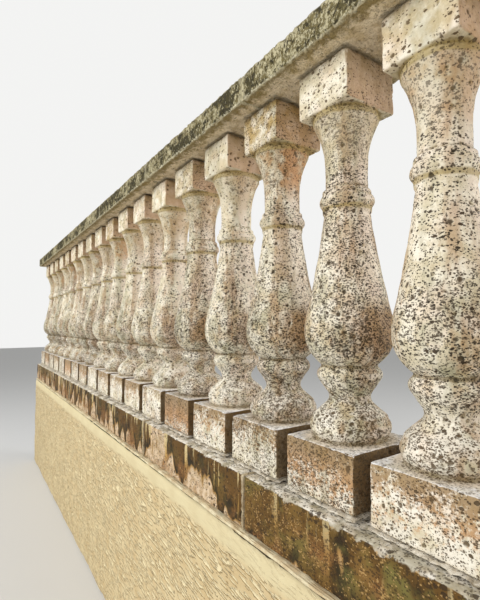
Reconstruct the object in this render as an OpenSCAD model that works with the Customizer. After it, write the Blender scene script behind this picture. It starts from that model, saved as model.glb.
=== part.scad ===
// Stone balustrade: turned balusters between a base course and a coping rail, on a rendered wall.
// The run lies along X and is centred on it, its two faces look along Y, and its foot is at Z = 0.

/* [Run] */
// Bays in the run, each as long as one coping stone
bays = 6; // [2:1:6]
// Balusters to a bay
balusters_per_bay = 3; // [2:1:4]
// Distance between baluster axes
pitch = 185; // [172:1:230]

/* [Wall] */
// Height of the rendered wall
wall_h = 600; // [300:10:900]
// How far the wall's face stands out past the base course
wall_reach = 8; // [4:1:20]
// Thickness of the bed between the wall and the base course
course_bed_h = 10; // [5:1:20]

/* [Base course] */
// Width of the base course
base_w = 203; // [180:1:260]
// Height of the base course
base_h = 104; // [70:1:150]
// Radius of its eased top edges
base_ease = 4; // [1:0.5:8]
// Width of the joints between its stones
base_joint = 6; // [3:0.5:12]
// How far the joint's mortar lies behind the stones' faces
base_joint_inset = 1; // [0.5:0.5:3]

/* [Coping rail] */
// Width of the rail
rail_w = 203; // [160:1:260]
// Thickness of the rail
rail_h = 57; // [40:1:90]
// Radius of its eased long edges
rail_ease = 6; // [2:0.5:12]
// Width of the joints between its stones
rail_joint = 4; // [2:0.5:8]
// How far the joint's mortar lies behind the stones' faces
rail_joint_inset = 4; // [1:0.5:8]

/* [Beds of the balusters] */
// Thickness of the mortar under a baluster
foot_bed_h = 6; // [3:0.5:12]
// How far that mortar spreads around the plinth
foot_bed_spread = 6; // [2:0.5:8]
// Thickness of the mortar between a baluster and the rail
head_bed_h = 3; // [1:0.5:8]
// How far that mortar lies behind the abacus
head_bed_inset = 3; // [1:0.5:10]

/* [Baluster blocks] */
// Side of the square plinth
plinth_side = 156; // [142:1:158]
// Height of the plinth
plinth_h = 89; // [50:1:130]
// Side of the square abacus
abacus_side = 118; // [112:1:156]
// Height of the abacus
abacus_h = 79; // [40:1:120]
// Radius of the upright edges of both blocks
block_ease = 2.5; // [1:0.5:6]

/* [Baluster foot] */
// Largest radius of the foot torus
torus_r = 69.5; // [66:0.5:70.5]
// Height of the foot torus
torus_h = 38; // [30:1:48]
// Radius of the fillet on top of the torus
foot_fillet_r = 63; // [58:0.5:64]
// Height of the fillet's top above the middle of the torus
foot_fillet_rise = 18; // [15:0.5:24]
// Height of the flare from the fillet to the waist
flare_h = 30; // [24:1:50]
// Radius of the shaft at the waist
waist_r = 35.5; // [28:0.5:40]
// Radius of the hollow round the waist
waist_hollow = 14; // [8:0.5:16]

/* [Baluster knuckle] */
// Height from the waist to the middle of the knuckle
knuckle_rise = 38; // [32:1:60]
// Largest radius of the knuckle
knuckle_r = 56; // [52:0.5:64]
// Height of the knuckle
knuckle_h = 28; // [20:1:34]
// Height of the groove above the knuckle
groove_h = 4; // [2:0.5:6]
// Depth of the groove, behind the foot of the belly
groove_depth = 2; // [1:0.5:4]

/* [Baluster belly and sleeve] */
// Largest radius of the belly
belly_r = 77; // [70:0.5:80]
// Height from the groove to the widest part of the belly
belly_rise = 55; // [48:1:57]
// Radius of the belly's curve below its widest part
belly_under = 66; // [62:1:70]
// Radius of the belly's curve above its widest part
belly_shoulder = 120; // [90:1:160]
// Height from the widest part of the belly to the top of the sleeve
sleeve_h = 205; // [175:1:260]
// Radius at the top of the sleeve
sleeve_top_r = 40; // [36:0.5:42]
// Radius of the sleeve's long hollow sweep
sleeve_sweep = 1500; // [1000:50:3000]

/* [Baluster ring, neck and bell] */
// Largest radius of the ring
ring_r = 48; // [45:0.5:56]
// Height of the ring
ring_h = 24; // [16:1:32]
// Radius of the fillets below and above the ring
ring_fillet_r = 42.5; // [42:0.5:44]
// Height of each fillet
ring_fillet_h = 8; // [4:0.5:12]
// Depth of the grooves between the ring and its fillets
ring_groove = 1.5; // [0.5:0.5:3]
// Radius of the neck
neck_r = 37; // [30:0.5:40]
// Height of the straight part of the neck
neck_h = 38; // [20:1:60]
// Height of the bell's hollow sweep
bell_h = 76; // [60:1:110]
// Radius of the bell at the top of its sweep
bell_r = 54.5; // [48:0.5:55.5]
// Largest radius of the bell's lip
lip_r = 58; // [56:0.5:59]
// Height of the lip
lip_h = 16; // [10:1:20]

/* [Hidden] */
// Facets of a full circle, and of the circles of the longest sweeps
$fn = 96;
sweep_fn = 1440;

stone = "#d6cdb8";
mossy_stone = "#8f8d78";
stained_stone = "#9a7b52";
mortar = "#b9b5a6";
render_coat = "#e2d3ab";

baluster_count = bays * balusters_per_bay + 1;
bay_l = balusters_per_bay * pitch;
run_l = bays * bay_l;
first_x = -run_l / 2;

// Levels of the courses, from the ground up
course_z = wall_h + course_bed_h;
foot_bed_z = course_z + base_h;
baluster_z = foot_bed_z + foot_bed_h;

// Levels of the turned work, above the underside of the plinth
torus_z = plinth_h + torus_h / 2;
foot_fillet_z = torus_z + foot_fillet_rise;
waist_z = foot_fillet_z + flare_h;
knuckle_z = waist_z + knuckle_rise;
groove_z = knuckle_z + knuckle_h / 2 - groove_h / 2;
belly_z = groove_z + groove_h + belly_rise;
sleeve_top_z = belly_z + sleeve_h;
ring_z = sleeve_top_z + ring_fillet_h;
neck_z = ring_z + ring_h + ring_fillet_h;
bell_z = neck_z + neck_h;
lip_z = bell_z + bell_h;
abacus_z = lip_z + lip_h;
baluster_h = abacus_z + abacus_h;

// Radius of the belly where it starts above the groove
belly_foot_r = belly_r - belly_under + sqrt(belly_under * belly_under - belly_rise * belly_rise);

head_bed_z = baluster_z + baluster_h;
rail_z = head_bed_z + head_bed_h;

// X of a baluster's axis, counted from 1 at the left end
function baluster_x(i) = first_x + (i - 1) * pitch;

// X of the joint after a bay, the run's two ends included, which reach past the end balusters
function joint_x(i, end_reach) = first_x + i * bay_l + (i == 0 ? -end_reach : i == bays ? end_reach : 0);

// Unit vector at an angle
function heading(a) = [cos(a), sin(a)];

// Angle of a vector
function bearing(v) = atan2(v.y, v.x);

// Point where a line from e touches the circle at c of radius r, turn = 1 or -1 choosing the side
function touch(e, c, r, turn) = c + r * heading(bearing(e - c) + turn * acos(r / norm(e - c)));

// Angle of the line that crosses between two circles and touches both, seen from the first
function cross_angle(c1, r1, c2, r2) = bearing(c2 - c1) - asin((r1 + r2) / norm(c2 - c1));

// Centre of a circle of radius r that touches the circle at c of radius rc and passes through p
function tangent_centre(c, rc, p, r) =
    let (d = norm(p - c), near = r + rc)
    c + near * heading(bearing(p - c) - acos((near * near + d * d - r * r) / (2 * near * d)));

// Square block with eased upright edges
module block(side, h, ease) {
    flat = side / 2 - ease;
    linear_extrude(h) {
        square([side, 2 * flat], center = true);
        square([2 * flat, side], center = true);
        for (x = [-flat, flat]) {
            for (y = [-flat, flat]) {
                translate([x, y]) circle(ease);
            }
        }
    }
}

// Slab whose four sides slope in towards its top
module weathered_bed(l, w, h, slope) {
    intersection() {
        rotate([90, 0, 0]) {
            linear_extrude(w, center = true) {
                polygon([[-l / 2, 0], [l / 2, 0], [l / 2 - slope, h], [slope - l / 2, h]]);
            }
        }
        rotate([90, 0, 90]) {
            linear_extrude(l, center = true) {
                polygon([[-w / 2, 0], [w / 2, 0], [w / 2 - slope, h], [slope - w / 2, h]]);
            }
        }
    }
}

// Half profiles for the turned work, from the axis out: a straight band
module band(z, r, h) {
    translate([0, z]) square([r, h]);
}

// A rounded bead, whose face reaches radius r
module bead(z, r, h) {
    band(z, r - h / 2, h);
    translate([r - h / 2, z + h / 2]) circle(h / 2);
}

// A cone from one point of the outline to the next
module taper(low, high) {
    polygon([[0, low.y], low, high, [0, high.y]]);
}

// The side of a circle as a hollow in the outline
module hollow(c, r, low_z, high_z) {
    difference() {
        translate([0, low_z]) square([c.x, high_z - low_z]);
        translate(c) circle(r, $fn = sweep_fn);
    }
}

// The side of a circle as a swelling of the outline
module swell(c, r, low_z, high_z) {
    intersection() {
        translate([0, low_z]) square([c.x + r, high_z - low_z]);
        translate(c) circle(r, $fn = sweep_fn);
    }
}

// Torus, fillet, flare and waist, up to the lower half of the knuckle
module foot_profile() {
    fillet = [foot_fillet_r, foot_fillet_z];
    waist = [waist_r + waist_hollow, waist_z];
    knuckle = [knuckle_r - knuckle_h / 2, knuckle_z];
    flare_end = touch(fillet, waist, waist_hollow, -1);
    rise = cross_angle(waist, waist_hollow, knuckle, knuckle_h / 2);
    rise_start = waist + waist_hollow * heading(rise + 90);
    rise_end = knuckle + knuckle_h / 2 * heading(rise - 90);
    bead(plinth_h, torus_r, torus_h);
    band(torus_z, foot_fillet_r, foot_fillet_rise);
    taper(fillet, flare_end);
    hollow(waist, waist_hollow, flare_end.y, rise_start.y);
    taper(rise_start, rise_end);
    swell(knuckle, knuckle_h / 2, rise_end.y, knuckle_z + knuckle_h / 2);
    band(rise_end.y, knuckle.x, knuckle_z + knuckle_h / 2 - rise_end.y);
    band(knuckle_z, belly_foot_r - groove_depth, groove_z + groove_h - knuckle_z);
}

// Belly and the long sleeve above it
module belly_profile() {
    under = [belly_r - belly_under, belly_z];
    shoulder = [belly_r - belly_shoulder, belly_z];
    top = [sleeve_top_r, sleeve_top_z];
    sweep = tangent_centre(shoulder, belly_shoulder, top, sleeve_sweep);
    meeting = shoulder + belly_shoulder * heading(bearing(sweep - shoulder));
    swell(under, belly_under, groove_z + groove_h, belly_z);
    swell(shoulder, belly_shoulder, belly_z, meeting.y);
    hollow(sweep, sleeve_sweep, meeting.y, sleeve_top_z);
}

// Ring between its fillets, neck, bell and lip
module head_profile() {
    flare = bell_r - neck_r;
    bell_sweep = (flare * flare + bell_h * bell_h) / (2 * flare);
    band(sleeve_top_z, ring_fillet_r, ring_fillet_h);
    bead(ring_z, ring_r, ring_h);
    band(ring_z, ring_fillet_r - ring_groove, ring_h);
    band(ring_z + ring_h, ring_fillet_r, ring_fillet_h);
    band(neck_z, neck_r, neck_h);
    intersection() {
        hollow([neck_r + bell_sweep, bell_z], bell_sweep, bell_z, lip_z);
        band(bell_z, bell_r, bell_h);
    }
    bead(lip_z, lip_r, lip_h);
    band(lip_z, bell_r, lip_h / 2);
}

// Plinth, turned shaft and abacus in one piece
module baluster(i) {
    color(stone) translate([baluster_x(i), 0, baluster_z]) {
        block(plinth_side, plinth_h, block_ease);
        rotate_extrude() {
            foot_profile();
            belly_profile();
            head_profile();
        }
        translate([0, 0, abacus_z]) block(abacus_side, abacus_h, block_ease);
    }
}

// Wall under the whole run, with its render coat
module stucco_wall() {
    l = run_l + base_w + 2 * wall_reach;
    w = base_w + 2 * wall_reach;
    color(render_coat) translate([-l / 2, -w / 2, 0]) cube([l, w, wall_h]);
}

// Bed between the wall and the base course, weathered outwards on all four sides
module course_bed() {
    l = run_l + base_w + 2 * wall_reach;
    w = base_w + 2 * wall_reach;
    color(mortar) translate([0, 0, wall_h]) weathered_bed(l, w, course_bed_h, wall_reach);
}

// Stone of the base course in bay i, its two long top edges eased
module base_stone(i) {
    start = joint_x(i - 1, base_w / 2) + (i == 1 ? 0 : base_joint / 2);
    end = joint_x(i, base_w / 2) - (i == bays ? 0 : base_joint / 2);
    flat = base_w / 2 - base_ease;
    color(stained_stone) translate([start, 0, course_z]) rotate([90, 0, 90]) linear_extrude(end - start) {
        translate([-base_w / 2, 0]) square([base_w, base_h - base_ease]);
        translate([-flat, 0]) square([2 * flat, base_h]);
        for (y = [-flat, flat]) {
            translate([y, base_h - base_ease]) circle(base_ease);
        }
    }
}

// Mortar in the upright joints of the base course
module base_joints() {
    w = base_w - 2 * base_joint_inset;
    h = base_h - base_joint_inset;
    for (i = [1 : bays - 1]) {
        color(mortar) translate([joint_x(i, 0) - base_joint / 2, -w / 2, course_z]) {
            cube([base_joint, w, h]);
        }
    }
}

// Mortar under each plinth
module baluster_foot_beds() {
    side = plinth_side + 2 * foot_bed_spread;
    for (i = [1 : baluster_count]) {
        color(mortar) translate([baluster_x(i), 0, foot_bed_z]) {
            weathered_bed(side, side, foot_bed_h, foot_bed_spread);
        }
    }
}

// Mortar between each abacus and the rail
module baluster_head_beds() {
    side = abacus_side - 2 * head_bed_inset;
    for (i = [1 : baluster_count]) {
        color(mortar) translate([baluster_x(i) - side / 2, -side / 2, head_bed_z]) {
            cube([side, side, head_bed_h]);
        }
    }
}

// Coping stone over bay i, its four long edges eased
module rail_stone(i) {
    start = joint_x(i - 1, rail_w / 2) + (i == 1 ? 0 : rail_joint / 2);
    end = joint_x(i, rail_w / 2) - (i == bays ? 0 : rail_joint / 2);
    flat_w = rail_w / 2 - rail_ease;
    color(mossy_stone) translate([start, 0, rail_z]) rotate([90, 0, 90]) linear_extrude(end - start) {
        translate([-rail_w / 2, rail_ease]) square([rail_w, rail_h - 2 * rail_ease]);
        translate([-flat_w, 0]) square([2 * flat_w, rail_h]);
        for (y = [-flat_w, flat_w]) {
            for (z = [rail_ease, rail_h - rail_ease]) {
                translate([y, z]) circle(rail_ease);
            }
        }
    }
}

// Mortar in the joints of the rail
module rail_joints() {
    w = rail_w - 2 * rail_joint_inset;
    h = rail_h - 2 * rail_joint_inset;
    for (i = [1 : bays - 1]) {
        color(mortar) translate([joint_x(i, 0) - rail_joint / 2, -w / 2, rail_z + rail_joint_inset]) {
            cube([rail_joint, w, h]);
        }
    }
}

stucco_wall();
course_bed();
for (i = [1 : bays]) {
    base_stone(i);
}
base_joints();
baluster_foot_beds();
for (i = [1 : baluster_count]) {
    baluster(i);
}
baluster_head_beds();
for (i = [1 : bays]) {
    rail_stone(i);
}
rail_joints();
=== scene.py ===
"""Looks of the stone balustrade: pitted stone, moss, rain streaks, mortar and a combed render coat."""
import math

import bpy
from mathutils import Matrix, Vector


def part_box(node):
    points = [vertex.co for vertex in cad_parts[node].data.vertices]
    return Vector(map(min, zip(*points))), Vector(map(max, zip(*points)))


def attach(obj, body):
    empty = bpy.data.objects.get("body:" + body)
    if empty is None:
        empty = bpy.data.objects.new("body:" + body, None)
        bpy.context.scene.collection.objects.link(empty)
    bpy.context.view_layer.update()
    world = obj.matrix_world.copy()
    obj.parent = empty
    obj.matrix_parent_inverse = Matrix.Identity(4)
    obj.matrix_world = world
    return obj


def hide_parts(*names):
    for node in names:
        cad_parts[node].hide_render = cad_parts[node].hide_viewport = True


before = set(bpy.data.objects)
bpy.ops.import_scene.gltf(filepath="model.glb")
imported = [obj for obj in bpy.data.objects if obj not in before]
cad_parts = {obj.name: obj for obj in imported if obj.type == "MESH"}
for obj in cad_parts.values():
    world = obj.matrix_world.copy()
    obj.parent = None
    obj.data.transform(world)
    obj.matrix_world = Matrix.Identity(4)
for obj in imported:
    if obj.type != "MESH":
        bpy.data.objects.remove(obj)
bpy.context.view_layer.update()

MM = 0.001


def numbered(stem):
    """The nodes whose names are the stem and a number, in the order of their numbers."""
    names = [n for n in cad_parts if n.startswith(stem) and n[len(stem):].isdigit()]
    return sorted(names, key=lambda n: int(n[len(stem):]))


def middle(node):
    """The middle of a node's box."""
    low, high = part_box(node)
    return (low + high) / 2


# The run, from the frame. A bay is as long as three balusters stand apart
BALUSTERS = numbered("baluster_")
RAIL_STONES = numbered("rail_stone_")
BASE_STONES = numbered("base_stone_")
FIRST_X = middle(BALUSTERS[0]).x
PITCH = middle(BALUSTERS[1]).x - FIRST_X
FOOT_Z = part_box(BALUSTERS[0])[0].z
HEAD_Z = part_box(BALUSTERS[0])[1].z
BASE_LOW, BASE_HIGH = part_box(BASE_STONES[0])
RAIL_LOW, RAIL_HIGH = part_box(RAIL_STONES[0])
WALL_TOP_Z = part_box("stucco_wall")[1].z
LAST_JOINT_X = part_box(BASE_STONES[-1])[0].x
BALUSTERS_A_BAY = 3
BAY = PITCH * BALUSTERS_A_BAY
# The rail's joints drip up to the first of these, and past the second its ends are plain
LAST_DRIP_X, PLAIN_END_X = 1.4, 1.5

# The photograph: its size, the camera's focal length in its pixels, and the pixel on the camera's axis
PHOTO_W, PHOTO_H = 480, 600
FOCAL_PX = 416.1
AXIS_PX = (270, 304)
CAMERA_AT = Vector((1.7964, -0.5321, 0.9995))
CAMERA_TURN = math.radians(53.98)
CAMERA_TILT = math.radians(2.76)
CAMERA_ROLL = math.radians(-0.33)
SENSOR = 36


class Value:
    """One socket of a node graph. An expression on values adds the nodes that work it out."""

    def __init__(self, graph, socket):
        self.graph = graph
        self.socket = socket

    def math(self, operation, *others):
        inputs = dict(enumerate((self, *others)))
        return self.graph.node("ShaderNodeMath", {"operation": operation}, inputs)

    def __add__(self, other):
        return self.math("ADD", other)

    def __sub__(self, other):
        return self.math("SUBTRACT", other)

    def __mul__(self, other):
        return self.math("MULTIPLY", other)

    def __truediv__(self, other):
        return self.math("DIVIDE", other)

    def __rsub__(self, other):
        return self * -1 + other

    __radd__ = __add__
    __rmul__ = __mul__

    def least(self, other):
        return self.math("MINIMUM", other)

    def most(self, other):
        return self.math("MAXIMUM", other)

    def ramp(self, start, end, low=0.0, high=1.0):
        """Eased from low at start to high at end, and held outside them."""
        settings = {"interpolation_type": "SMOOTHSTEP"}
        inputs = {"Value": self, "From Min": start, "From Max": end, "To Min": low, "To Max": high}
        return self.graph.node("ShaderNodeMapRange", settings, inputs, "Result")

    def band(self, start, full, fading, end):
        """1 from full to fading, eased down to 0 at start and at end."""
        return self.ramp(start, full) * self.ramp(end, fading)


class Graph:
    """A node tree that is written as expressions."""

    def __init__(self, tree):
        self.tree = tree
        tree.nodes.clear()

    def node(self, kind, settings=None, inputs=None, output=0):
        """Adds a node: its settings first, then the values or links of its sockets."""
        made = self.tree.nodes.new(kind)
        for name, value in (settings or {}).items():
            setattr(made, name, value)
        for key, value in (inputs or {}).items():
            socket = self.find(made.inputs, key)
            if isinstance(value, Value):
                self.tree.links.new(value.socket, socket)
            else:
                socket.default_value = value
        return Value(self, self.find(made.outputs, output)) if len(made.outputs) else None

    @staticmethod
    def find(sockets, key):
        if isinstance(key, int):
            return sockets[key]
        return next(s for s in sockets if s.name == key and s.enabled)

    def vector(self, operation, first, second, output="Vector"):
        return self.node("ShaderNodeVectorMath", {"operation": operation}, {0: first, 1: second}, output)

    def shifted(self, vector, *shift):
        """The vector moved by three numbers, so that one noise gives a second, unlike pattern."""
        return self.vector("ADD", vector, shift)

    def axes(self, vector):
        """The three components of a vector."""
        split = self.node("ShaderNodeSeparateXYZ", None, {0: vector}).socket.node
        return [Value(self, s) for s in split.outputs]

    def join(self, x, y, z):
        return self.node("ShaderNodeCombineXYZ", None, {0: x, 1: y, 2: z})

    def noise(self, point, size, detail=3.0, rough=0.55, output="Fac"):
        """Noise whose blotches are about size across, from 0 to 1."""
        inputs = {"Vector": point, "Scale": 1 / size, "Detail": detail, "Roughness": rough}
        return self.node("ShaderNodeTexNoise", None, inputs, output)

    def cells(self, point, size):
        """Distance to the middle of the nearest cell, in cell sizes, and that cell's own number."""
        spot = self.node("ShaderNodeTexVoronoi", None, {"Vector": point, "Scale": 1 / size})
        chance = self.axes(Value(self, spot.socket.node.outputs["Color"]))[0]
        return spot, chance

    def blend(self, share, first, second, kind="MIX"):
        """Colour that goes from first to second."""
        settings = {"data_type": "RGBA", "blend_type": kind}
        inputs = {"Factor": share, "A": self.colour(first), "B": self.colour(second)}
        return self.node("ShaderNodeMix", settings, inputs, "Result")

    @staticmethod
    def colour(value):
        return value if isinstance(value, Value) else (*value, 1)


def shade(*rgb):
    """A colour as a screen shows it, 0 to 255, in the shaders' own scale."""
    return tuple(((c / 255 + 0.055) / 1.055) ** 2.4 for c in rgb)


# Modelling


def select(*objects):
    """Selects these objects and no others, and makes the first one active."""
    bpy.ops.object.select_all(action="DESELECT")
    for o in objects:
        o.select_set(True)
    bpy.context.view_layer.objects.active = objects[0] if objects else None


def apply_modifier(piece, kind, **settings):
    """Adds a modifier to the piece and applies it."""
    select(piece)
    modifier = piece.modifiers.new(kind.title(), kind)
    for name, value in settings.items():
        setattr(modifier, name, value)
    bpy.ops.object.modifier_apply(modifier=modifier.name)
    return piece


def triangles(piece):
    """How many triangles a piece's faces make."""
    return sum(len(p.vertices) - 2 for p in piece.data.polygons)


def remeshed(piece, voxel):
    """Rebuilds a piece as one closed skin of small even faces."""
    return apply_modifier(piece, "REMESH", mode="VOXEL", voxel_size=voxel)


def thin(piece, most):
    """Thins a mesh to so many triangles, which stay closest where the detail is."""
    count = triangles(piece)
    return apply_modifier(piece, "DECIMATE", ratio=most / count) if count > most else piece


def bow(start, end, radius, steps):
    """Points after start on an arc to end. A positive radius swells out, a negative one is hollow."""
    start, end = Vector(start), Vector(end)
    chord = end - start
    side = Vector((-chord.y, chord.x)).normalized()
    depth = math.sqrt(radius * radius - chord.length_squared / 4)
    centre = (start + end) / 2 + side * math.copysign(depth, radius)
    turn = math.copysign(2 * math.asin(chord.length / 2 / abs(radius)), radius)
    turns = [Matrix.Rotation(turn * i / steps, 2) for i in range(1, steps + 1)]
    return [tuple(centre + part @ (start - centre)) for part in turns]


def cut_block(low, high, ease):
    """A squared stone with eased edges."""
    select()
    low, high = Vector(low), Vector(high)
    bpy.ops.mesh.primitive_cube_add(size=1, location=(low + high) / 2, scale=high - low)
    bpy.ops.object.transform_apply(location=True, rotation=True, scale=True)
    bpy.ops.object.mode_set(mode="EDIT")
    bpy.ops.mesh.select_all(action="SELECT")
    bpy.ops.mesh.bevel(offset=ease, segments=3, affect="EDGES")
    bpy.ops.object.mode_set(mode="OBJECT")
    return bpy.context.object


# A baluster, in millimetres, with heights above the underside of its plinth
PLINTH_SIDE, PLINTH_TOP = 156, 89
ABACUS_SIDE, ABACUS_FOOT, ABACUS_TOP = 118, 640, 719
BLOCK_EASE = 2.5
EMBED = 5
# Where the belly and the bell have looks of their own, and where grime draws a line round the shaft
BELLY_FOOT, BELLY_TOP = 205, 330
BELL_START, BELL_FULL = 520, 580
RING_SEAM, LIP_SEAM = 476, 634
TURNING_SIDES = 128
BALUSTER_VOXEL = 2.2 * MM


def outline():
    """The turned outline, as radius and height, from the plinth up to the abacus."""
    points = [(50, PLINTH_TOP - EMBED), (50.5, PLINTH_TOP)]
    # Torus, whose last steps run into the fillet
    points += bow((50.5, PLINTH_TOP), (50.5, 127), 19.01, 12)[:-3]
    # Fillet, flare and hollow waist
    points += [(63, 122.3), (63, 126), (40.4, 145.4)]
    points += bow((40.4, 145.4), (38, 164), -14, 6)
    points += [(53.4, 186)]
    # Knuckle
    points += bow((53.4, 186), (45.5, 207.6), 14, 8)
    points += [(45.5, 210), (47.5, 210)]
    # Belly and long sleeve
    points += bow((47.5, 210), (77, 265), 66, 10)
    points += bow((77, 265), (73.3, 294.4), 120, 5)
    points += bow((73.3, 294.4), (40, 470), -1500, 16)
    # Ring between two fillets, and the neck
    points += [(42.5, 470), (42.5, 478), (41, 478), (41, 479)]
    points += bow((41, 479), (41, 501), 12, 8)
    points += [(42.5, 502), (42.5, 510), (37, 510), (37, 548)]
    # Bell and lip
    points += bow((37, 548), (54.5, 624), -173.8, 12)
    points += [(54.5, 625.4)]
    points += bow((54.5, 625.4), (52, 639.7), 8, 6)
    points += [(50, ABACUS_FOOT), (50, ABACUS_FOOT + EMBED)]
    return points


def turned_shaft():
    """The turned part: a disc, drawn up and scaled ring by ring along the outline."""
    points = [(r * MM, z * MM) for r, z in outline()]
    radius, height = points[0]
    select()
    settings = {"vertices": TURNING_SIDES, "radius": radius, "fill_type": "NGON"}
    bpy.ops.mesh.primitive_circle_add(location=(0, 0, height), **settings)
    bpy.ops.object.transform_apply(location=True, rotation=True, scale=True)
    bpy.ops.object.mode_set(mode="EDIT")
    bpy.ops.mesh.select_all(action="SELECT")
    for next_radius, next_height in points[1:]:
        bpy.ops.mesh.extrude_region_move(TRANSFORM_OT_translate={"value": (0, 0, next_height - height)})
        grow = next_radius / radius
        bpy.ops.transform.resize(value=(grow, grow, 1))
        radius, height = next_radius, next_height
    bpy.ops.mesh.select_all(action="SELECT")
    bpy.ops.mesh.normals_make_consistent(inside=False)
    bpy.ops.object.mode_set(mode="OBJECT")
    return bpy.context.object


def rough_baluster():
    """Plinth, turned shaft and abacus, fused into one stone that stands on the origin."""
    blocks = []
    for side, foot, top in ((PLINTH_SIDE, 0, PLINTH_TOP), (ABACUS_SIDE, ABACUS_FOOT, ABACUS_TOP)):
        half = side / 2 * MM
        blocks.append(cut_block((-half, -half, foot * MM), (half, half, top * MM), BLOCK_EASE * MM))
    shaft = turned_shaft()
    select(shaft, *blocks)
    bpy.ops.object.join()
    return remeshed(shaft, BALUSTER_VOXEL)


# Weathering of the stones' shapes


def weathering(name, rounding, wear, chip, pit, ripple, wave=(30 * MM,) * 3):
    """Node group that rounds a stone's edges unevenly, chips them, ripples its faces and opens pits.

    Rounding is how often the shape is evened out, and wear is how much of that stays. Chip, pit and
    ripple are depths. The wave is how long the ripples are along each axis."""
    tree = bpy.data.node_groups.new(name, "GeometryNodeTree")
    tree.interface.new_socket("Geometry", in_out="INPUT", socket_type="NodeSocketGeometry")
    tree.interface.new_socket("Seed", in_out="INPUT", socket_type="NodeSocketFloat")
    tree.interface.new_socket("Geometry", in_out="OUTPUT", socket_type="NodeSocketGeometry")
    g = Graph(tree)
    shape = g.node("NodeGroupInput", None, None, "Geometry")
    seed = Value(g, shape.socket.node.outputs["Seed"])
    place = g.node("GeometryNodeInputPosition")
    normal = g.node("GeometryNodeInputNormal")
    point = g.vector("ADD", place, g.join(seed * 3.1, seed * 1.7, seed * 2.3))

    def blurred(iterations):
        inputs = {"Value": place, "Iterations": iterations}
        return g.node("GeometryNodeBlurAttribute", {"data_type": "FLOAT_VECTOR"}, inputs, "Value")

    # Worn edges, and how hollow the shape is
    rounded = blurred(rounding)
    edge = g.vector("DOT_PRODUCT", g.vector("SUBTRACT", place, rounded), normal, "Value")
    inwards = g.vector("SUBTRACT", blurred(rounding * 5), place)
    hollow = g.vector("DOT_PRODUCT", inwards, normal, "Value")
    uneven = g.noise(point, 45 * MM).ramp(0.35, 0.65, 0.3 * wear, wear)
    inputs = {"Factor": uneven, "A": place, "B": rounded}
    worn = g.node("ShaderNodeMix", {"data_type": "VECTOR"}, inputs, "Result")

    # Chips on some edges, then large and small pits
    bite, chance = g.cells(point, 38 * MM)
    chipped = bite.ramp(0.35, 0.6, 1, 0) * chance.ramp(0.62, 0.66) * edge.ramp(0.2 * MM, 1.2 * MM)
    shift = g.vector("MULTIPLY", g.noise(point, 9 * MM, output="Color"), (6 * MM,) * 3)
    bent = g.vector("ADD", point, shift)
    spot, odds = g.cells(bent, 14 * MM)
    large = spot.ramp(0.15, 0.36, 1, 0) * odds.ramp(0.55, 0.65)
    spot, odds = g.cells(bent, 7 * MM)
    small = spot.ramp(0.2, 0.42, 1, 0) * odds.ramp(0.5, 0.6)
    pitted = large.most(small * 0.6)
    uneven_face = g.noise(g.vector("DIVIDE", point, wave), 1, 2).ramp(0.3, 0.7)

    sunk = (chipped * chip + pitted * pit + uneven_face * ripple) * -1
    push = g.node("ShaderNodeVectorMath", {"operation": "SCALE"}, {0: normal, "Scale": sunk}, "Vector")
    inputs = {"Geometry": shape, "Position": g.vector("ADD", worn, push)}
    shape = g.node("GeometryNodeSetPosition", None, inputs)
    for label, amount in (("pit", pitted), ("hollow", hollow)):
        settings = {"data_type": "FLOAT", "domain": "POINT"}
        inputs = {"Geometry": shape, "Name": label, "Value": amount}
        shape = g.node("GeometryNodeStoreNamedAttribute", settings, inputs)
    g.node("NodeGroupOutput", None, {"Geometry": shape})
    return tree


def weather(piece, tree, seed):
    """Wears a piece by a weathering group, in a way of its own for each seed."""
    select(piece)
    modifier = piece.modifiers.new("Weather", "NODES")
    modifier.node_group = tree
    modifier[tree.interface.items_tree["Seed"].identifier] = float(seed)
    bpy.ops.object.modifier_apply(modifier=modifier.name)
    return piece


def worn_block(low, high, ease, voxel, erosion, seed, most):
    """A weathered block that fills the space between two corners."""
    block = remeshed(cut_block(low, high, ease), voxel)
    return thin(weather(block, erosion, seed), most)


def own_copy(model, name, move=(0, 0, 0), turn=0.0):
    """A copy with its own mesh, turned about Z and moved, with its place in its mesh."""
    select(model)
    bpy.ops.object.duplicate(linked=False)
    copy = bpy.context.object
    copy.name = copy.data.name = name
    copy.rotation_euler = (0, 0, turn)
    copy.location = move
    bpy.ops.object.transform_apply(location=True, rotation=True, scale=True)
    return copy


def seat(piece, name, slot, material, *nodes):
    """Gives a finished piece its name, finish and place in the frame."""
    piece.name = piece.data.name = name
    select(piece)
    bpy.ops.object.shade_smooth_by_angle(angle=math.radians(60))
    piece.data.materials.clear()
    piece.data.materials.append(material)
    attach(piece, "root")
    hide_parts(*nodes)


# Materials


def new_material(name):
    material = bpy.data.materials.new(name)
    material.use_nodes = True
    return material, Graph(material.node_tree)


def close_material(g, colour, roughness, height, depth):
    """The shader of a rough surface, whose relief is height times depth."""
    inputs = {"Strength": 1.0, "Distance": depth, "Height": height}
    bump = g.node("ShaderNodeBump", None, inputs, "Normal")
    inputs = {"Base Color": colour, "Roughness": roughness, "Normal": bump, "Specular IOR Level": 0.3}
    shader = g.node("ShaderNodeBsdfPrincipled", None, inputs, "BSDF")
    g.node("ShaderNodeOutputMaterial", None, {"Surface": shader})


def surroundings(g):
    """The shaded point, its coordinates and the way that its face looks."""
    point = g.node("ShaderNodeTexCoord", None, None, "Object")
    facing = g.node("ShaderNodeNewGeometry", None, None, "Normal")
    return point, g.axes(point), g.axes(facing)


def attribute(g, name):
    """An amount that the piece's mesh holds."""
    return g.node("ShaderNodeAttribute", {"attribute_name": name}, None, "Fac")


def from_nearest_axis(x):
    """The nearest baluster's number in the run, and how far x lies to one side of its axis."""
    index = ((x - FIRST_X) / PITCH).math("ROUND")
    return index, x - FIRST_X - index * PITCH


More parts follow.
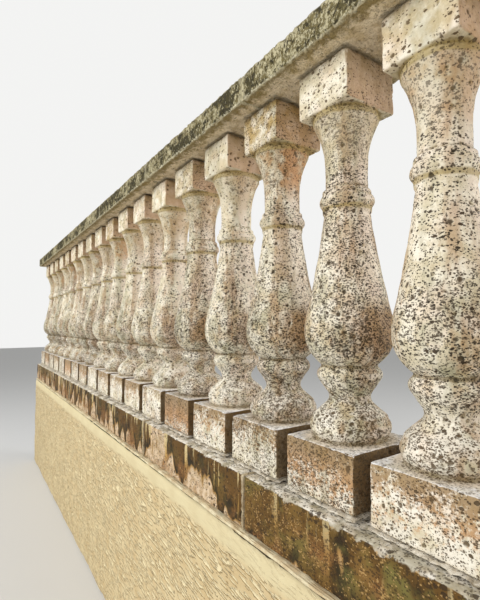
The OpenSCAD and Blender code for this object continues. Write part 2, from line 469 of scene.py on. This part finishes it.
def flattened(g, point):
    """Coordinates in which round marks come out a little wider than they are tall."""
    return g.vector("MULTIPLY", point, (1, 1, 1.4))


def flecks(g, point, size, density):
    """Ragged dark specks. More density opens more of them."""
    return (g.noise(flattened(g, point), size, 3, 0.65) + density).ramp(0.575, 0.605)


def holes(g, point, size, share, reach=0.4):
    """Round to ragged pits in the given share of the cells, whose radius is up to reach cells."""
    shift = g.vector("MULTIPLY", g.noise(point, size * 0.6, 2, output="Color"), (size * 0.55,) * 3)
    spot, odds = g.cells(g.vector("ADD", flattened(g, point), shift), size)
    # A share of nothing would leave the ramp no length
    share = share.most(0.01) if isinstance(share, Value) else share
    return (odds.ramp(1 - share, 1, 0.0, reach) - spot).ramp(-0.03, 0.06)


def ledge_grey(g, mottle):
    """The pale grey of stone and mortar that rain washes from above."""
    return g.blend(mottle.ramp(0.35, 0.65), shade(246, 240, 226), shade(200, 188, 166))


def cracked(g, tone, crack, mottle):
    """Darkens a tone along a crack, which is fainter here and there."""
    return g.blend(crack * mottle.ramp(0.35, 0.5, 0.5, 0.95), tone, shade(62, 50, 30))


class BalusterSpot:
    """Where a shaded point is on its baluster, in millimetres, and what reaches it there."""

    def __init__(self, g):
        self.point, (x, y, z), (face_x, _, face_z) = surroundings(g)
        index, across = from_nearest_axis(x)
        self.height = (z - FOOT_Z) / MM
        self.from_axis = g.vector("LENGTH", g.join(across, y, 0), (0, 0, 0), "Value") / MM
        self.streaky = g.join(across + index, y, (z - FOOT_Z) * 0.12)
        self.broad = g.noise(self.point, 90 * MM, 3)
        self.mottle = g.noise(self.point, 26 * MM, 4)
        self.uneven = self.mottle - 0.5

        # Parts of the baluster, from its foot up
        self.on_plinth = self.height.ramp(PLINTH_TOP + 1, PLINTH_TOP - 2)
        self.plinth_top = self.on_plinth * face_z.ramp(0.6, 0.85)
        self.near_foot = self.height.ramp(190, 130)
        self.lower_half = self.height.ramp(420, 240, 0.4, 1)
        self.on_belly = self.height.band(BELLY_FOOT, BELLY_FOOT + 30, BELLY_TOP - 40, BELLY_TOP)
        self.on_abacus = self.height.ramp(ABACUS_FOOT - 2, ABACUS_FOOT + 1)
        self.on_bell = self.height.ramp(BELL_START, BELL_FULL) * (1 - self.on_abacus)

        # Sides that look at a neighbour, where less rain falls and the neighbour's shade falls, so not
        # the outer sides of the end ones
        self.facing = x.math("ABSOLUTE").ramp(-FIRST_X, 35 * MM - FIRST_X, 1, 0)
        self.side = face_x.math("ABSOLUTE") + self.uneven * 0.4
        # The darker tones laid on these sides are partly dirt, partly painted shade
        self.sheltered_and_shaded = self.side.ramp(0.55, 0.95) * self.facing
        # Faces that look straight at a neighbour: fewer pits, and pale pink as a painted reflected light
        clean = self.side.ramp(0.85, 1.05) * self.facing
        self.clean = clean * (1 - self.on_belly) * (1 - self.on_plinth) * (1 - self.on_abacus)

        # Amounts of the whole baluster
        self.rust = attribute(g, "rust")
        self.fresh = attribute(g, "fresh")
        self.lichen = attribute(g, "lichen")


def shaft_tone(g, at):
    """Cream and pinkish stone under olive, golden and brown streaks."""
    tone = g.blend(at.mottle.ramp(0.36, 0.64), shade(252, 244, 224), shade(224, 212, 182))
    tone = g.blend(at.broad.ramp(0.5, 0.62, 0, 0.35), tone, shade(242, 216, 196))
    olive = g.noise(at.streaky, 34 * MM).ramp(0.48, 0.62)
    tone = g.blend(olive * (0.5 - at.fresh * 0.15), tone, shade(160, 156, 126))
    tinted = at.lower_half * (1 - at.on_plinth * 0.6)
    green = g.noise(g.shifted(at.point, 0, 9, 4), 45 * MM, 4).ramp(0.52, 0.64)
    tone = g.blend(green * tinted * 0.35, tone, shade(154, 154, 114))
    gold = g.noise(g.shifted(at.point, 7, 7, 7), 36 * MM, 4).ramp(0.52, 0.64)
    tone = g.blend(gold * tinted * 0.3, tone, shade(206, 168, 108))

    turning = at.side.band(0.3, 0.6, 0.8, 1.05) * at.facing
    brown = g.noise(g.shifted(at.streaky, 0, 0, 5), 26 * MM).ramp(0.42, 0.6) * turning
    tone = g.blend(brown * 0.5, tone, shade(168, 120, 72))
    # Brown on the belly's sides toward a neighbour: stain, and painted shade where the bellies come
    # closest
    tone = g.blend(at.on_belly * at.sheltered_and_shaded * (0.7 - at.fresh * 0.35), tone, shade(158, 112, 54))
    bleached = g.noise(g.shifted(at.point, 8, 0, 3), 32 * MM, 4).ramp(0.42, 0.58) * (1 - at.sheltered_and_shaded)
    tone = g.blend(bleached * at.height.ramp(230, 150) * 0.6, tone, shade(252, 246, 232))
    # Pale pink on the faces toward a neighbour: a painted reflected light
    tone = g.blend(at.clean * 0.55, tone, shade(240, 222, 210))

    tone = g.blend(at.on_bell * 0.4, tone, shade(186, 168, 128))
    patch = (at.mottle + at.sheltered_and_shaded * 0.2).ramp(0.45, 0.75) * at.on_bell * at.lichen
    tone = g.blend(patch * 0.7, tone, shade(190, 128, 66))
    # Darker in the hollows of the shape: dirt, and painted shade where little light reaches
    hollow = attribute(g, "hollow").ramp(0.2 * MM, 1.2 * MM)
    tone = g.blend(hollow * 0.65, tone, shade(124, 104, 60))
    from_ring = (at.height - RING_SEAM).math("ABSOLUTE")
    from_lip = (at.height - LIP_SEAM).math("ABSOLUTE") - 2
    from_seam = from_ring.least(from_lip) + at.uneven * 8
    return g.blend(from_seam.ramp(2, 6, 0.7, 0), tone, shade(166, 144, 84))


def plinth_tone(g, at, tone):
    """Lays the plinth's rust, its gap sides darkened by dirt and painted shade, and its rain-washed top
    painted white as sky light, over a tone.
    """
    crumbs = g.noise(at.point, 5 * MM, 3, 0.65)
    ragged = at.height / PLINTH_TOP + (crumbs - 0.5) * 2.2 + at.uneven * 1.6 + (at.rust - 0.45) * 1.5
    brown = g.blend(at.height.ramp(30, 85), shade(196, 146, 96), shade(152, 120, 74))
    tone = g.blend(at.on_plinth * ragged.ramp(0.55, 1.15) * 0.85, tone, brown)
    # The sides toward the next plinth: dirt, and painted shade in the narrow gap
    tone = g.blend(at.on_plinth * at.sheltered_and_shaded * 0.9, tone, shade(104, 80, 46))
    # The top is painted white as rain-washed stone and painted sky light, warmer next to the torus as a
    # painted shade in the corner
    near_torus = at.from_axis.ramp(70, 86, 1, 0)
    top = g.blend(near_torus, shade(255, 255, 255), shade(252, 240, 222))
    return g.blend(at.plinth_top, tone, top)


def abacus_tone(g, at, tone):
    """Lays the abacus's lichen, its sides browned and darkened as painted shade, and a painted shadow
    along its top under the rail, over a tone.
    """
    lichened = at.lichen * at.mottle.ramp(0.3, 0.65)
    tone = g.blend(at.on_abacus * lichened * 0.8, tone, shade(184, 152, 84))
    # Sides toward a neighbour: browned stone, darker upwards as painted shade under the rail
    rise = (at.height + at.uneven * 60).ramp(ABACUS_FOOT, ABACUS_TOP)
    browned_and_shaded = g.blend(rise, shade(190, 153, 118), shade(144, 111, 62))
    tone = g.blend(at.on_abacus * at.sheltered_and_shaded * 0.75, tone, browned_and_shaded)
    # A dark band just under the rail: a painted shadow where the rail meets the abacus
    under_rail_shade = (at.height + at.uneven * 30).ramp(ABACUS_TOP - 10, ABACUS_TOP)
    return g.blend(under_rail_shade * 0.5, tone, shade(96, 80, 46))


def pit_marks(g, at):
    """Fine holes and dust nearly everywhere, with flecks, some large holes and the carved pits."""
    dense = at.lower_half * 0.08 - 0.041 + at.broad.ramp(0.35, 0.65, -0.03, 0.03)
    dense = dense + at.on_abacus * (at.lichen * 0.03 - 0.06)
    dense = dense - at.on_plinth * 0.03 - at.near_foot * 0.012
    dense = dense + at.sheltered_and_shaded * 0.01 - at.clean * 0.035 - at.fresh * 0.045
    fine = holes(g, at.point, 3.1 * MM, dense * 6 + 0.62, 0.64)
    dust = holes(g, g.shifted(at.point, 1, 5, 2), 2.4 * MM, dense * 6 + 0.36, 0.7)
    medium = flecks(g, g.shifted(at.point, 3, 1, 2), 7 * MM, dense - 0.045)
    coarse = holes(g, at.point, 8.5 * MM, 0.28)
    # Carved pits are coloured dark, as dirt in them and painted shade inside them
    carved = attribute(g, "pit").ramp(0.25, 0.75)
    marks = (fine * 0.95).most(dust * 0.6).most(medium * 0.85).most(coarse).most(carved * 0.85)
    return marks * (1 - at.plinth_top * 0.7) * (1 - at.on_bell * 0.3)


def pitted_stone():
    """Cream stone full of dark pits, with rain streaks, rust on the plinths and lichen on the abaci."""
    material, g = new_material("pitted_stone")
    at = BalusterSpot(g)
    tone = abacus_tone(g, at, plinth_tone(g, at, shaft_tone(g, at)))
    marks = pit_marks(g, at)
    # The colour of the pits: dirt in them and painted shade inside them, paler on the abacus and near
    # the foot
    pit_dirt_and_shade = g.blend(at.mottle.ramp(0.4, 0.6), shade(66, 48, 26), shade(38, 28, 14))
    pit_dirt_and_shade = g.blend((at.on_abacus * 0.45).most(at.near_foot * 0.35), pit_dirt_and_shade, shade(132, 108, 74))
    tone = g.blend(marks * 0.96, tone, pit_dirt_and_shade)
    grain = g.noise(at.point, 3 * MM, 3, 0.7)
    dusty = grain.ramp(0.35, 0.7, 0, 0.3) * (1 - at.plinth_top) * (1 - at.fresh * 0.6)
    tone = g.blend(dusty, tone, shade(150, 132, 100), "MULTIPLY")
    close_material(g, tone, marks * -0.1 + 0.9, grain * 0.2 - marks, 1.5 * MM)
    return material


def rail_underside(g, point, x, y, mottle, ragged):
    """Sheltered beige stone, mossy along its edges, and dark round each abacus with moss and painted
    shade.
    """
    tone = g.blend(mottle.ramp(0.4, 0.65), shade(240, 222, 188), shade(212, 190, 148))
    tone = g.blend(flecks(g, point, 9 * MM, -0.04) * 0.6, tone, shade(112, 92, 56))
    edge = (y.math("ABSOLUTE") + ragged).ramp(70 * MM, 92 * MM)
    tone = g.blend(edge * 0.85, tone, shade(136, 118, 70))
    across = from_nearest_axis(x)[1]
    # Dark round each abacus: moss, and painted shade where the abacus meets the rail
    from_abacus = across.math("ABSOLUTE").most(y.math("ABSOLUTE")) + ragged * 0.15
    return g.blend(from_abacus.ramp(61 * MM, 59 * MM) * 0.35, tone, shade(100, 82, 46))


def mossy_stone():
    """Dark olive stone with pale upright flecks, beige where the rail shelters it."""
    material, g = new_material("mossy_stone")
    point, (x, y, z), (_, _, face_z) = surroundings(g)
    broad = g.noise(point, 80 * MM, 3)
    mottle = g.noise(point, 20 * MM, 4)
    grain = g.noise(point, 5 * MM, 4, 0.7)
    upright = g.vector("MULTIPLY", point, (1, 1, 0.6))
    growth = mottle + (broad - 0.5) * 1.8
    tone = g.blend(growth.ramp(0.36, 0.6), shade(122, 110, 70), shade(68, 61, 31))

    flaked = g.noise(g.shifted(upright, 2, 2, 2), 5 * MM, 4, 0.75)
    pale = (flaked - growth * 0.3).ramp(0.39, 0.43)
    crust = g.noise(g.shifted(upright, 5, 2, 2), 13 * MM, 5, 0.75)
    crust = (crust - growth * 0.2).ramp(0.52, 0.55)
    from_joint = (x - (x / BAY).math("ROUND") * BAY).math("ABSOLUTE") + (mottle - 0.5) * 16 * MM
    inside_ends = x.math("ABSOLUTE").ramp(PLAIN_END_X, LAST_DRIP_X)
    drip = from_joint.ramp(7 * MM, 2 * MM) * inside_ends
    tone = g.blend((pale * 0.8).most(crust * 0.85).most(drip * 0.7), tone, shade(208, 198, 160))
    black = flecks(g, upright, 6 * MM, growth.ramp(0.35, 0.65, -0.02, 0.06))
    tone = g.blend(black * 0.85, tone, shade(54, 48, 30))

    below = face_z.ramp(-0.35, -0.8)
    ragged = (mottle - 0.5) * 44 * MM + (grain - 0.5) * 30 * MM
    tone = g.blend(below, tone, rail_underside(g, point, x, y, mottle, ragged))
    # Pale along the rounded edges: worn stone, and a painted highlight
    worn_edge_and_highlight = attribute(g, "hollow").ramp(-1.4 * MM, -2.6 * MM)
    tone = g.blend(worn_edge_and_highlight * mottle.ramp(0.35, 0.55, 0.15, 0.75), tone, shade(206, 196, 164))
    arris = (z - RAIL_LOW.z + ragged * 0.3).ramp(7 * MM, 4 * MM) * (1 - below)
    crumbs = g.noise(point, 9 * MM, 4, 0.7)
    tone = g.blend(arris * crumbs.ramp(0.45, 0.52) * 0.85, tone, shade(232, 224, 192))
    relief = grain + pale * 0.5 - black * 0.8 + mottle
    close_material(g, tone, 0.9 - pale * 0.1, relief, 2.5 * MM)
    return material


def rain_runs(g, along, z, depth, mottle, last):
    """Pinkish stone under brown and golden runs, and how far the runs reach at each point."""
    tone = g.blend(mottle.ramp(0.35, 0.65), shade(226, 202, 170), shade(190, 160, 122))
    run = g.noise(g.join(along, 0, z * 0.3), 60 * MM, 2, 0.4)
    reach = run + 0.06 - depth * depth * 0.17 + last * 0.12
    tone = g.blend(reach.ramp(0.43, 0.46) * 0.9, tone, shade(164, 124, 62))
    thick = (reach + (mottle - 0.5) * 0.3).ramp(0.5, 0.62)
    core = g.blend(thick, shade(46, 34, 7), shade(96, 68, 24))
    lighter = g.noise(g.join(along, 3, z * 0.5), 40 * MM, 4, 0.6).ramp(0.46, 0.6)
    core = g.blend(lighter * last * 0.65, core, shade(126, 97, 44))
    tone = g.blend(reach.ramp(0.455, 0.48), tone, core)
    wash = g.noise(g.join(along + 7, 0, z * 0.1), 32 * MM, 3)
    light_run = wash.ramp(0.56, 0.6) * depth.ramp(0.3, 0.9, 1, 0.1) * (1 - last * 0.4)
    golden = g.blend(depth.ramp(0.1, 0.6), shade(222, 200, 148), shade(206, 162, 86))
    return g.blend(light_run * 0.85, tone, golden), reach


def streaked_stone():
    """The base course: streaked by rain, rusty low down, mossy high up, with a grey ledge."""
    material, g = new_material("streaked_stone")
    point, (x, y, z), (_, _, face_z) = surroundings(g)
    depth = (BASE_HIGH.z - z) / (BASE_HIGH.z - BASE_LOW.z)
    broad = g.noise(point, 120 * MM, 2)
    mottle = g.noise(point, 16 * MM, 4)
    grain = g.noise(point, 4 * MM, 3, 0.7)
    # The last stone is the darkest and has the most pits
    last = x.ramp(LAST_JOINT_X - 1 * MM, LAST_JOINT_X + 1 * MM)
    along = x + y + (mottle - 0.5) * 7 * MM
    tone, reach = rain_runs(g, along, z, depth, mottle, last)
    rusty = g.noise(g.shifted(point, 4, 0, 0), 90 * MM, 3).ramp(0.48, 0.62) * depth.ramp(0.2, 0.7)
    tone = g.blend(rusty * 0.7, tone, shade(150, 104, 58))
    moss = g.noise(g.shifted(point, 0, 0, 9), 80 * MM, 3).ramp(0.45, 0.58) * depth.ramp(0.3, 1, 1, 0)
    right_end = x.ramp(0.9, 1.4, 0.15, 1)
    tone = g.blend(moss * right_end * 0.85, tone, shade(122, 114, 58))

    ledge = face_z.ramp(0.5, 0.8)
    dirt = (g.noise(g.shifted(point, 3, 3, 0), 34 * MM, 4) + last * 0.05).ramp(0.5, 0.64)
    grey = g.blend(dirt * 0.55, ledge_grey(g, mottle), shade(142, 132, 96))
    spill = (g.noise(point, 24 * MM, 4) * 0.5 - depth * (2 - last * 0.9)).ramp(0.2, 0.24)
    tone = g.blend(ledge.most(spill * 0.85), tone, grey)

    share = broad.ramp(0.3, 0.7, 0.2, 0.5) + rusty * 0.3 + last * 0.3
    # Pits darkened: dirt in them and painted shade inside them
    dark = holes(g, point, 3.6 * MM, share, 0.66) * 0.75
    carved = attribute(g, "pit").ramp(0.2, 0.7)
    dark = dark.most(holes(g, point, 11 * MM, 0.25, 0.45)).most(carved * 0.8)
    tone = g.blend(dark * 0.85, tone, shade(54, 38, 16))
    sparse = mottle.ramp(0.4, 0.65) * (rusty * 0.4 + last * 0.6)
    bright = holes(g, g.shifted(point, 6, 6, 0), 3.2 * MM, sparse, 0.7)
    tone = g.blend(bright * 0.6 * (1 - ledge), tone, shade(196, 158, 100))
    relief = grain * 0.4 - dark + mottle * 0.4
    close_material(g, tone, 0.9 - reach * 0.2, relief, 1.5 * MM)
    return material


def lime_mortar():
    """Brownish lime mortar, washed grey in the beds at the foot of the balusters."""
    material, g = new_material("lime_mortar")
    point, (_, _, z), _ = surroundings(g)
    mottle = g.noise(point, 18 * MM, 4)
    grain = g.noise(point, 3.5 * MM, 4, 0.7)
    tone = g.blend(mottle.ramp(0.35, 0.65), shade(204, 188, 156), shade(156, 136, 104))
    ledge_z = BASE_HIGH.z
    washed = z.band(ledge_z - 1 * MM, ledge_z + 1 * MM, FOOT_Z + 9 * MM, HEAD_Z - 6 * MM)
    tone = g.blend(washed * 0.85, tone, ledge_grey(g, mottle))
    dark = flecks(g, point, 5 * MM, -0.03)
    tone = g.blend(dark * 0.6, tone, shade(84, 70, 48))
    close_material(g, tone, 0.9, grain + mottle - dark, 1.5 * MM)
    return material


def bed_plaster():
    """The pale strip under the base course, drawn along its length, with a dark line at its foot."""
    material, g = new_material("bed_plaster")
    point, (x, y, z), _ = surroundings(g)
    lines = g.noise(g.join(x * 0.06, y, z), 2.5 * MM, 3, 0.6)
    mottle = g.noise(point, 30 * MM, 4)
    tone = g.blend(mottle.ramp(0.4, 0.65), shade(236, 224, 188), shade(210, 188, 148))
    tone = g.blend(lines.ramp(0.52, 0.66), tone, shade(158, 136, 98))
    crack = (z - WALL_TOP_Z + (lines - 0.5) * 2 * MM).ramp(3 * MM, 2 * MM)
    tone = cracked(g, tone, crack, mottle)
    close_material(g, tone, 0.85, lines + mottle * 0.5 - crack, 1.5 * MM)
    return material


def combed_render():
    """Cream render coat, smooth in a band at its top and combed along the run below it, each stroke with
    a painted highlight and a painted shadow.
    """
    material, g = new_material("combed_render")
    point, (x, y, z), _ = surroundings(g)
    mottle = g.noise(point, 60 * MM, 3)
    sway = (g.noise(point, 300 * MM, 2) - 0.5) * 36 * MM
    combed = g.join(x * 0.13, y * 0.13, z + x * 0.13 + sway)
    from_top = z - WALL_TOP_Z
    smooth = (from_top + (mottle - 0.5) * 30 * MM).ramp(-52 * MM, -32 * MM)
    well_smoothed = x.ramp(0.8, 1.4, 0.95, 0.75)
    rough = 1 - smooth * well_smoothed

    def strokes(shift):
        """Thin lines drawn along the run, moved up by the shift."""
        return g.noise(g.shifted(combed, 0, 0, shift), 5 * MM, 1).ramp(0.54, 0.58) * rough

    # Each stroke is a pale line with a dark line just below it: a painted highlight on the crest and a
    # painted shadow under it
    grooves_with_shadow = strokes(1.8 * MM)
    crests_with_highlight = strokes(0)
    tone = g.blend(mottle.ramp(0.35, 0.65), shade(220, 200, 156), shade(208, 184, 138))
    tone = g.blend(smooth * 0.5, tone, shade(228, 219, 178))
    tone = g.blend(grooves_with_shadow * 0.75, tone, shade(166, 134, 80))
    tone = g.blend(crests_with_highlight * 0.85, tone, shade(248, 232, 188))
    dots = holes(g, g.join(x * 0.6, y * 0.6, z), 8 * MM, 0.2) * rough
    tone = g.blend(dots * 0.6, tone, shade(136, 108, 66))
    crack = (from_top + (g.noise(point, 9 * MM) - 0.5) * 1.2 * MM).ramp(-4 * MM, -3 * MM)
    tone = cracked(g, tone, crack, mottle)
    close_material(g, tone, 0.9 - smooth * 0.15, crests_with_highlight - grooves_with_shadow - dots * 0.3 - crack, 2 * MM)
    return material


STONE = pitted_stone()
MOSSY = mossy_stone()
STREAKED = streaked_stone()
MORTAR = lime_mortar()
BED = bed_plaster()
RENDER = combed_render()

# Balusters, with how rusty each plinth, how fresh each stone and how lichened each abacus is,
# from the left end of the run

AMOUNTS = {
    "rust": (
        0.5, 0.8, 0.4, 0.6, 0.3, 0.9, 0.5, 0.7, 0.4, 0.6,
        0.5, 0.6, 0.4, 1.0, 0.6, 0.5, 0.8, 0.6, 0.9),
    "fresh": (
        0.7, 1.0, 0.4, 0.9, 0.5, 1.0, 0.8, 0.5, 1.0, 0.7,
        0.9, 0.9, 1.0, 0.1, 0.7, 0.0, 0.0, 0.6, 0.5),
    "lichen": (
        0.3, 0.1, 0.6, 0.2, 0.8, 0.3, 0.1, 0.5, 0.2, 0.7,
        0.3, 0.2, 0.3, 0.4, 0.15, 1.0, 0.0, 0.4, 0.7),
}
CARVINGS = 4
QUARTER = math.radians(90)
BALUSTER_TRIANGLES = 36000


def record_amount(piece, label, amount):
    """Writes one amount all over a piece, for its material to read."""
    made = piece.data.attributes.new(label, "FLOAT", "POINT")
    made.data.foreach_set("value", [amount] * len(piece.data.vertices))


def carve_balusters():
    """A few carvings, copied along the run and turned by quarters, so that no neighbours are alike."""
    erosion = weathering(
        "baluster_weathering", rounding=3, wear=0.55, chip=3 * MM, pit=2 * MM, ripple=0.8 * MM)
    rough = rough_baluster()
    worn = [weather(own_copy(rough, "carving"), erosion, seed) for seed in range(CARVINGS)]
    carvings = [thin(stone, BALUSTER_TRIANGLES) for stone in worn]
    bpy.data.objects.remove(rough)
    for i, node in enumerate(BALUSTERS):
        where = (middle(node).x, middle(node).y, FOOT_Z)
        copy = own_copy(carvings[i % CARVINGS], "worn_" + node, where, QUARTER * (i // CARVINGS))
        for label, amounts in AMOUNTS.items():
            record_amount(copy, label, amounts[i])
        seat(copy, "worn_" + node, "baluster_stone", STONE, node)
    for carving in carvings:
        bpy.data.objects.remove(carving)


# Rail and base course

TRIM = Vector((0.5 * MM,) * 3)
STONE_VOXEL = 3 * MM
RAIL_STONE_EASE, BASE_STONE_EASE = 4 * MM, 3 * MM
RAIL_STONE_TRIANGLES, BASE_STONE_TRIANGLES = 14000, 13000


def just_inside(node):
    """The corners of a block that stays a little inside a node's box."""
    low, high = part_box(node)
    return low + TRIM, high - TRIM


def lay_stones(nodes, ease, erosion, most, slot, material):
    """A weathered stone for each node, each worn in its own way."""
    for seed, node in enumerate(nodes):
        stone = worn_block(*just_inside(node), ease, STONE_VOXEL, erosion, seed, most)
        seat(stone, "worn_" + node, slot, material, node)


def lay_rail():
    erosion = weathering(
        "rail_weathering", rounding=4, wear=0.8, chip=3.5 * MM, pit=2.5 * MM, ripple=2 * MM,
        wave=(12 * MM, 12 * MM, 34 * MM))
    lay_stones(RAIL_STONES, RAIL_STONE_EASE, erosion, RAIL_STONE_TRIANGLES, "rail_stone", MOSSY)


def lay_base_course():
    erosion = weathering(
        "base_weathering", rounding=4, wear=0.8, chip=2.5 * MM, pit=2 * MM, ripple=1.2 * MM)
    lay_stones(BASE_STONES, BASE_STONE_EASE, erosion, BASE_STONE_TRIANGLES, "base_stone", STREAKED)


# Mortar

SMEAR_W = 10 * MM
SMEAR_PROUD = 1.2 * MM
SMEAR_EASE = 1.5 * MM
SMEAR_VOXEL = 2 * MM
RAIL_JOINT_INSET = 2.5 * MM
BASE_SMEAR_TRIANGLES, RAIL_SMEAR_TRIANGLES = 1500, 900
FOOT_BED_SPREAD = 6 * MM
HEAD_BED_INSET = 1 * MM
FOOT_BED_EASE, HEAD_BED_EASE = 2.5 * MM, 0.8 * MM
FOOT_BED_TRIANGLES, HEAD_BED_TRIANGLES = 1300, 300
BED_VOXEL = 1.5 * MM


def joint_places(stones):
    """Where the upright joints of a row of stones lie along the run."""
    return [(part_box(a)[1].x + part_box(b)[0].x) / 2 for a, b in zip(stones, stones[1:])]


def joined(pieces):
    """Fuses loose pieces into one object."""
    select(*pieces)
    bpy.ops.object.join()
    return bpy.context.object


def smears(stones, low, high, erosion, most):
    """Mortar pressed out of each upright joint of a row of stones."""
    half = SMEAR_W / 2
    made = []
    for seed, x in enumerate(joint_places(stones)):
        corners = (x - half, low.y, low.z), (x + half, high.y, high.z)
        made.append(worn_block(*corners, SMEAR_EASE, SMEAR_VOXEL, erosion, seed, most))
    return joined(made)


def beds(node, reach, ease, erosion, most):
    """A bed of mortar under or over every baluster, as far as reach from its middle."""
    low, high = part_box(node)
    corners = (-reach, -reach, low.z), (reach, reach, high.z)
    model = worn_block(*corners, ease, BED_VOXEL, erosion, seed=9, most=most)
    made = []
    for i, baluster in enumerate(BALUSTERS):
        where = (middle(baluster).x, middle(baluster).y, 0)
        made.append(own_copy(model, "bed", where, turn=QUARTER * (i % 4)))
    bpy.data.objects.remove(model)
    return joined(made)


def lay_mortar():
    """Smears in the upright joints, and beds at the foot and head of each baluster."""
    erosion = weathering(
        "mortar_weathering", rounding=3, wear=1.0, chip=1.5 * MM, pit=1 * MM, ripple=2 * MM,
        wave=(9 * MM,) * 3)
    proud = Vector((0, SMEAR_PROUD, 0))
    made = smears(BASE_STONES, BASE_LOW - proud, BASE_HIGH + proud, erosion, BASE_SMEAR_TRIANGLES)
    seat(made, "smeared_base_joints", "mortar", MORTAR, "base_joints")
    inset = Vector((0, RAIL_JOINT_INSET, RAIL_JOINT_INSET))
    made = smears(RAIL_STONES, RAIL_LOW + inset, RAIL_HIGH - inset, erosion, RAIL_SMEAR_TRIANGLES)
    seat(made, "mossy_rail_joints", "mortar", MOSSY, "rail_joints")

    foot_erosion = weathering(
        "foot_bed_weathering", rounding=6, wear=1.0, chip=2 * MM, pit=1 * MM, ripple=5 * MM,
        wave=(16 * MM,) * 3)
    reach = PLINTH_SIDE / 2 * MM + FOOT_BED_SPREAD
    made = beds("baluster_foot_beds", reach, FOOT_BED_EASE, foot_erosion, FOOT_BED_TRIANGLES)
    seat(made, "lumpy_foot_beds", "mortar", MORTAR, "baluster_foot_beds")
    reach = ABACUS_SIDE / 2 * MM - HEAD_BED_INSET
    made = beds("baluster_head_beds", reach, HEAD_BED_EASE, erosion, HEAD_BED_TRIANGLES)
    seat(made, "thin_head_beds", "mortar", MORTAR, "baluster_head_beds")


# Bed under the base course, and the wall

COURSE_BED_EASE = 1.5 * MM
COURSE_BED_TRIANGLES = 12000
WALL_EASE = 3 * MM
WALL_VOXEL = 8 * MM
WALL_TRIANGLES = 24000


def draw_course_bed():
    """The bed, whose ripples are long, as if drawn along the run by a trowel."""
    erosion = weathering(
        "bed_weathering", rounding=3, wear=1.0, chip=2 * MM, pit=0.5 * MM, ripple=2 * MM,
        wave=(160 * MM, 3 * MM, 3 * MM))
    corners = just_inside("course_bed")
    bed = worn_block(
        *corners, COURSE_BED_EASE, STONE_VOXEL, erosion, seed=4, most=COURSE_BED_TRIANGLES)
    seat(bed, "drawn_bed", "mortar", BED, "course_bed")


def float_wall():
    erosion = weathering(
        "wall_weathering", rounding=2, wear=0.6, chip=2 * MM, pit=0, ripple=3 * MM,
        wave=(260 * MM, 60 * MM, 90 * MM))
    corners = just_inside("stucco_wall")
    wall = worn_block(*corners, WALL_EASE, WALL_VOXEL, erosion, seed=5, most=WALL_TRIANGLES)
    seat(wall, "floated_wall", "render_coat", RENDER, "stucco_wall")


# Floor, light and camera

FLOOR_SIZE = 40
FLOOR_COLOUR = (0.72, 0.72, 0.71, 1)
BACKDROP_COLOUR = (0.9, 0.9, 0.89, 1)
BACKDROP_SEEN, BACKDROP_LIGHT = 1.0, 0.45
LAMP_SIZE = 2.5


def lay_floor():
    select()
    bpy.ops.mesh.primitive_plane_add(size=FLOOR_SIZE, location=(0, 0, 0))
    floor = bpy.context.object
    floor.name = "floor"
    material, g = new_material("pale_floor")
    inputs = {"Base Color": FLOOR_COLOUR, "Roughness": 0.9}
    shader = g.node("ShaderNodeBsdfPrincipled", None, inputs, "BSDF")
    g.node("ShaderNodeOutputMaterial", None, {"Surface": shader})
    floor.data.materials.append(material)


def hang_backdrop():
    """A pale world, brighter where it is seen than where it lights the stone."""
    world = bpy.context.scene.world or bpy.data.worlds.new("World")
    bpy.context.scene.world = world
    world.use_nodes = True
    g = Graph(world.node_tree)
    paths = g.node("ShaderNodeLightPath").socket.node
    rays = ("Is Camera Ray", "Is Glossy Ray", "Is Transmission Ray")
    direct, mirrored, passed = (Value(g, paths.outputs[ray]) for ray in rays)
    seen = direct.most(mirrored).most(passed)
    strength = seen * (BACKDROP_SEEN - BACKDROP_LIGHT) + BACKDROP_LIGHT
    inputs = {"Color": BACKDROP_COLOUR, "Strength": strength}
    backdrop = g.node("ShaderNodeBackground", None, inputs)
    g.node("ShaderNodeOutputWorld", None, {"Surface": backdrop})


def lamp(name, at, aim, watts):
    """A large soft lamp that looks at a point."""
    bpy.ops.object.light_add(type="AREA", location=at)
    made = bpy.context.object
    made.name = name
    made.data.size = LAMP_SIZE
    made.data.energy = watts
    made.rotation_euler = (Vector(aim) - Vector(at)).to_track_quat("-Z", "Y").to_euler()


def aim_camera():
    """The camera, as it was fitted to the photograph."""
    bpy.ops.object.camera_add(location=CAMERA_AT)
    camera = bpy.context.object
    upright = Matrix.Rotation(math.pi / 2 + CAMERA_TILT, 3, "X")
    turn = Matrix.Rotation(CAMERA_TURN, 3, "Z") @ upright
    camera.rotation_euler = (turn @ Matrix.Rotation(CAMERA_ROLL, 3, "Z")).to_euler()
    camera.data.sensor_width = SENSOR
    camera.data.lens = FOCAL_PX / PHOTO_H * SENSOR
    camera.data.shift_x = (PHOTO_W / 2 - AXIS_PX[0]) / PHOTO_H
    camera.data.shift_y = (AXIS_PX[1] - PHOTO_H / 2) / PHOTO_H
    camera.data.clip_start = 0.02
    bpy.context.scene.camera = camera


carve_balusters()
lay_rail()
lay_base_course()
lay_mortar()
draw_course_bed()
float_wall()
lay_floor()
hang_backdrop()
lamp("key", at=(-1.5, -4.4, 4.0), aim=(0.6, 0, 1.1), watts=220)
lamp("side", at=(4.5, -3.0, 1.8), aim=(0.6, 0, 1.0), watts=65)
lamp("back", at=(3.2, 4.2, 2.2), aim=(0.6, 0, 1.1), watts=150)
aim_camera()
bpy.context.scene.view_settings.view_transform = "Standard"
